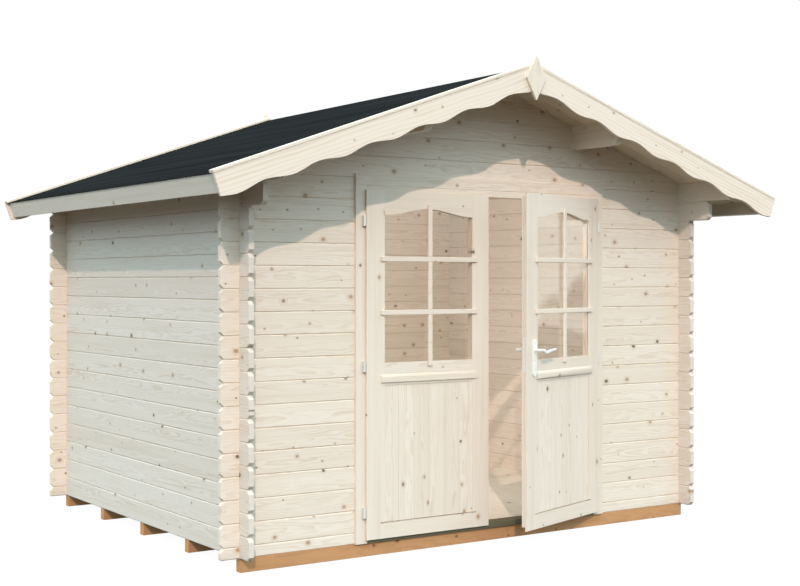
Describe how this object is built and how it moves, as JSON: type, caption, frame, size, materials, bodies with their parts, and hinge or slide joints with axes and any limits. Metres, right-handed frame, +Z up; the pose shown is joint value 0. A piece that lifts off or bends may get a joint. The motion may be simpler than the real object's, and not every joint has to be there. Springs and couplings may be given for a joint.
{
  "type": "wooden garden shed",
  "caption": "Garden shed with interlocking log walls, a felted gable roof with wavy barge boards, a board floor on bearers and a glazed two-leaf front door.",
  "frame": {"origin": "on the ground under the middle of the four walls, in the underside of the middle bearer", "axes": "+X along the front from left to right, +Y from the door towards the back wall, +Z up"},
  "size_m": [3.6964, 2.978, 2.5919],
  "materials": {
    "impregnated_wood": "pressure-treated",
    "floor_wood": "planed",
    "log_wood": "planed",
    "roof_wood": "planed",
    "trim_wood": "planed",
    "door_wood": "planed",
    "threshold_wood": "pressure-treated",
    "roofing_felt": "mineral-grained",
    "window_glass": "clear",
    "hinge_steel": "zinc-plated",
    "handle_metal": "satin"
  },
  "bodies": {
    "shed": {"floor_bearers": "impregnated_wood", "floor_boards": "floor_wood", "left_wall": "log_wood", "right_wall": "log_wood", "back_wall": "log_wood", "back_gable": "log_wood", "front_wall_left": "log_wood", "front_wall_right": "log_wood", "front_gable": "log_wood", "purlins": "roof_wood", "roof_deck_left": "roof_wood", "roof_deck_right": "roof_wood", "roof_felt_left": "roofing_felt", "roof_felt_right": "roofing_felt", "eave_board_left": "trim_wood", "eave_board_right": "trim_wood", "front_barge_boards": "trim_wood", "back_barge_boards": "trim_wood", "front_cap_strips": "trim_wood", "back_cap_strips": "trim_wood", "front_finial": "trim_wood", "back_finial": "trim_wood", "left_jamb": "door_wood", "right_jamb": "door_wood", "door_head": "door_wood", "threshold": "threshold_wood", "left_hinge_pins": "hinge_steel", "right_hinge_pins": "hinge_steel"},
    "left_leaf": {"left_leaf_stiles": "door_wood", "left_leaf_rails": "door_wood", "left_leaf_panel": "door_wood", "left_leaf_glass": "window_glass", "left_leaf_drip": "door_wood", "left_hinge_sleeves": "hinge_steel"},
    "right_leaf": {"right_leaf_stiles": "door_wood", "right_leaf_rails": "door_wood", "right_leaf_panel": "door_wood", "right_leaf_glass": "window_glass", "right_leaf_drip": "door_wood", "right_hinge_sleeves": "hinge_steel", "handle_plates": "handle_metal", "lock_plate": "hinge_steel"},
    "lever": {"lever_handles": "handle_metal"}
  },
  "joints": [
    {"name": "left_leaf_hinge", "type": "hinge", "parent": "shed", "child": "left_leaf", "pos_m": [-0.799, -1.227, 0.989], "axis": [0, 0, -1], "range_deg": [0, 145]},
    {"name": "right_leaf_hinge", "type": "hinge", "parent": "shed", "child": "right_leaf", "pos_m": [0.799, -1.227, 0.989], "axis": [0, 0, 1], "range_deg": [-19.5, 125.5]},
    {"name": "lever_turn", "type": "hinge", "parent": "right_leaf", "child": "lever", "pos_m": [0.11994, -1.47383, 1.049], "axis": [-0.3338, 0.9426, 0], "range_deg": [0, 40], "stiffness_Nm_per_rad": 1.5, "springref_deg": -22.92}
  ]
}
